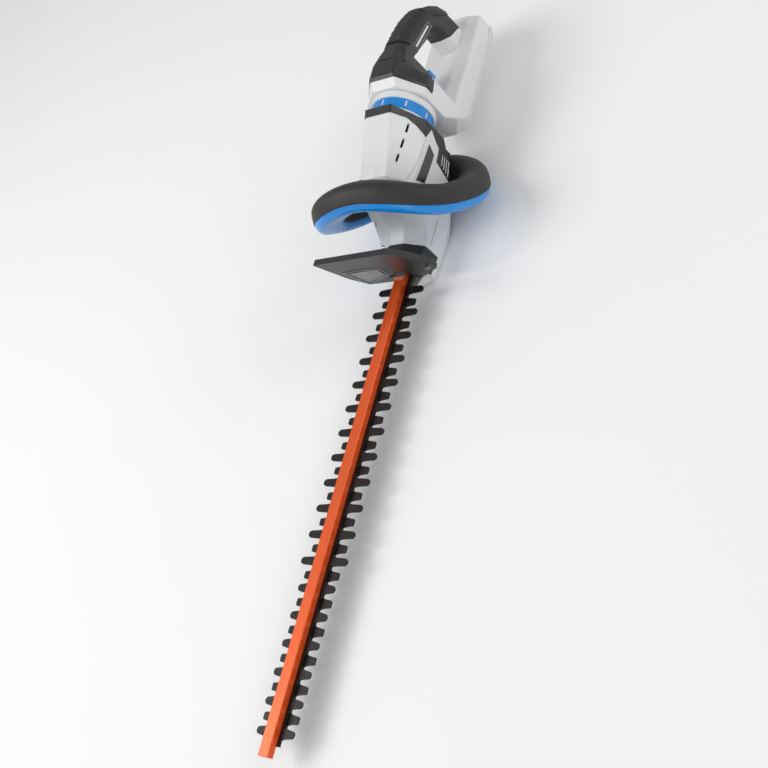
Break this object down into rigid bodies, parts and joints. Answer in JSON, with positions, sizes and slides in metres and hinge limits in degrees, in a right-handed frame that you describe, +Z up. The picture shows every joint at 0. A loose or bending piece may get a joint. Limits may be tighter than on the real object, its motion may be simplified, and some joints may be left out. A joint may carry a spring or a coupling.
{
  "type": "hedge trimmer",
  "caption": "Cordless double-sided hedge trimmer with a wrap-around front handle, hand guard and a rear D-handle that turns about its long axis.",
  "frame": {"origin": "centre of the footprint box at the level of the skid pad under the gear case", "axes": "+X along the blades towards their tip, +Y to the tool's left, +Z up"},
  "size_m": [1.0345, 0.2266, 0.1818],
  "materials": {
    "housing_white": "fine moulded texture",
    "dark_plastic": "fine moulded texture",
    "blue_plastic": "semi-gloss moulded",
    "soft_grip": "soft overmould",
    "grey_panel": "satin panel",
    "label_black": "gloss film",
    "orange_cover": "satin paint over aluminium",
    "blade_steel": "blackened, ground edges",
    "steel": "zinc plated",
    "gear_steel": "machined",
    "cast_aluminium": "as cast",
    "motor_black": "satin",
    "nylon": "glass-filled",
    "board": "solder-masked",
    "cell_wrap": "film wrap",
    "brass": "plain"
  },
  "bodies": {
    "powerhead": {"housing_left": "housing_white", "housing_right": "housing_white", "housing_screws": "steel", "trim_band": "dark_plastic", "side_vent_left": "dark_plastic", "side_vent_right": "dark_plastic", "label_plates": "label_black", "swivel_hub": "nylon", "index_ring": "blue_plastic", "fixed_collar": "housing_white", "hand_guard": "dark_plastic", "guard_badge": "grey_panel", "guard_screws": "steel", "front_handle_shell": "blue_plastic", "front_handle_grip": "soft_grip", "handle_saddle": "dark_plastic", "saddle_screws": "steel", "gear_case": "cast_aluminium", "gear_case_cover": "cast_aluminium", "gear_case_screws": "steel", "gear_bearings": "gear_steel", "motor_can": "motor_black", "motor_stator": "steel", "motor_bearings": "gear_steel", "control_board": "board", "blade_cover": "orange_cover", "blade_bolts": "steel", "blade_washers": "steel", "cover_screws": "steel"},
    "motor": {"motor_rotor": "steel", "motor_shaft": "gear_steel", "motor_pinion": "gear_steel", "cooling_fan": "nylon"},
    "gear_train": {"drive_gear": "gear_steel", "gear_shaft": "gear_steel", "eccentric_upper": "gear_steel", "eccentric_lower": "gear_steel"},
    "rod_upper": {"connecting_rod_upper": "gear_steel"},
    "rod_lower": {"connecting_rod_lower": "gear_steel"},
    "upper_blade": {"blade_upper": "blade_steel"},
    "lower_blade": {"blade_lower": "blade_steel"},
    "rear_handle": {"rear_housing_left": "housing_white", "rear_housing_right": "housing_white", "handle_casing_left": "dark_plastic", "handle_casing_right": "dark_plastic", "rear_screws": "steel", "grip_overmould": "soft_grip", "grip_inlay": "housing_white", "trigger_pin": "steel", "microswitch": "nylon", "trigger_spring": "steel", "terminal_block": "nylon", "tool_terminals": "brass"},
    "trigger": {"trigger": "dark_plastic"},
    "lock_off": {"lock_off_button": "dark_plastic"},
    "rotation_lock": {"rotation_release": "blue_plastic"},
    "battery": {"battery_case": "dark_plastic", "battery_cells": "cell_wrap"},
    "latch": {"battery_latch": "dark_plastic", "latch_spring": "steel"}
  },
  "joints": [
    {"name": "handle_swivel", "type": "hinge", "parent": "powerhead", "child": "rear_handle", "pos_m": [-0.3275, 0, 0.1208], "axis": [1, 0, 0], "range_deg": [-90, 90]},
    {"name": "trigger_pull", "type": "hinge", "parent": "rear_handle", "child": "trigger", "pos_m": [-0.392, 0, 0.1478], "axis": [0, 1, 0], "range_deg": [0, 12], "stiffness_Nm_per_rad": 1.2, "springref_deg": -5.73},
    {"name": "lock_off_press", "type": "slide", "parent": "rear_handle", "child": "lock_off", "axis": [0, 1, 0], "range_m": [0, 0.003], "stiffness_N_per_m": 300, "springref_m": -0.003},
    {"name": "rotation_release_press", "type": "slide", "parent": "rear_handle", "child": "rotation_lock", "axis": [1, 0, 0], "range_m": [0, 0.004], "stiffness_N_per_m": 400, "springref_m": -0.003},
    {"name": "battery_slide", "type": "slide", "parent": "rear_handle", "child": "battery", "axis": [-1, 0, 0], "range_m": [0, 0.17]},
    {"name": "battery_latch_press", "type": "slide", "parent": "battery", "child": "latch", "axis": [0, 0, -1], "range_m": [0, 0.003], "stiffness_N_per_m": 400, "springref_m": -0.003, "deforming": ["latch_spring"]},
    {"name": "gear_spin", "type": "hinge", "parent": "powerhead", "child": "gear_train", "pos_m": [-0.1795, 0, 0.0308], "axis": [0, 0, 1], "continuous": true},
    {"name": "motor_spin", "type": "hinge", "parent": "powerhead", "child": "motor", "pos_m": [-0.2155, 0, 0.0808], "axis": [0, 0, 1], "continuous": true},
    {"name": "rod_upper_pivot", "type": "hinge", "parent": "gear_train", "child": "rod_upper", "pos_m": [-0.1795, 0.008, 0.0366], "axis": [0, 0, 1], "continuous": true},
    {"name": "rod_lower_pivot", "type": "hinge", "parent": "gear_train", "child": "rod_lower", "pos_m": [-0.1795, -0.008, 0.025], "axis": [0, 0, 1], "continuous": true},
    {"name": "upper_blade_slide", "type": "slide", "parent": "powerhead", "child": "upper_blade", "axis": [1, 0, 0], "range_m": [-0.008, 0.008]},
    {"name": "lower_blade_slide", "type": "slide", "parent": "powerhead", "child": "lower_blade", "axis": [1, 0, 0], "range_m": [-0.008, 0.008]}
  ],
  "couplings": [
    {"joint": "motor_spin", "follows": "gear_spin", "ratio": -5},
    {"joint": "rod_upper_pivot", "follows": "gear_spin", "ratio": -1},
    {"joint": "rod_lower_pivot", "follows": "gear_spin", "ratio": -1},
    {"joint": "lower_blade_slide", "follows": "upper_blade_slide", "ratio": -1}
  ]
}
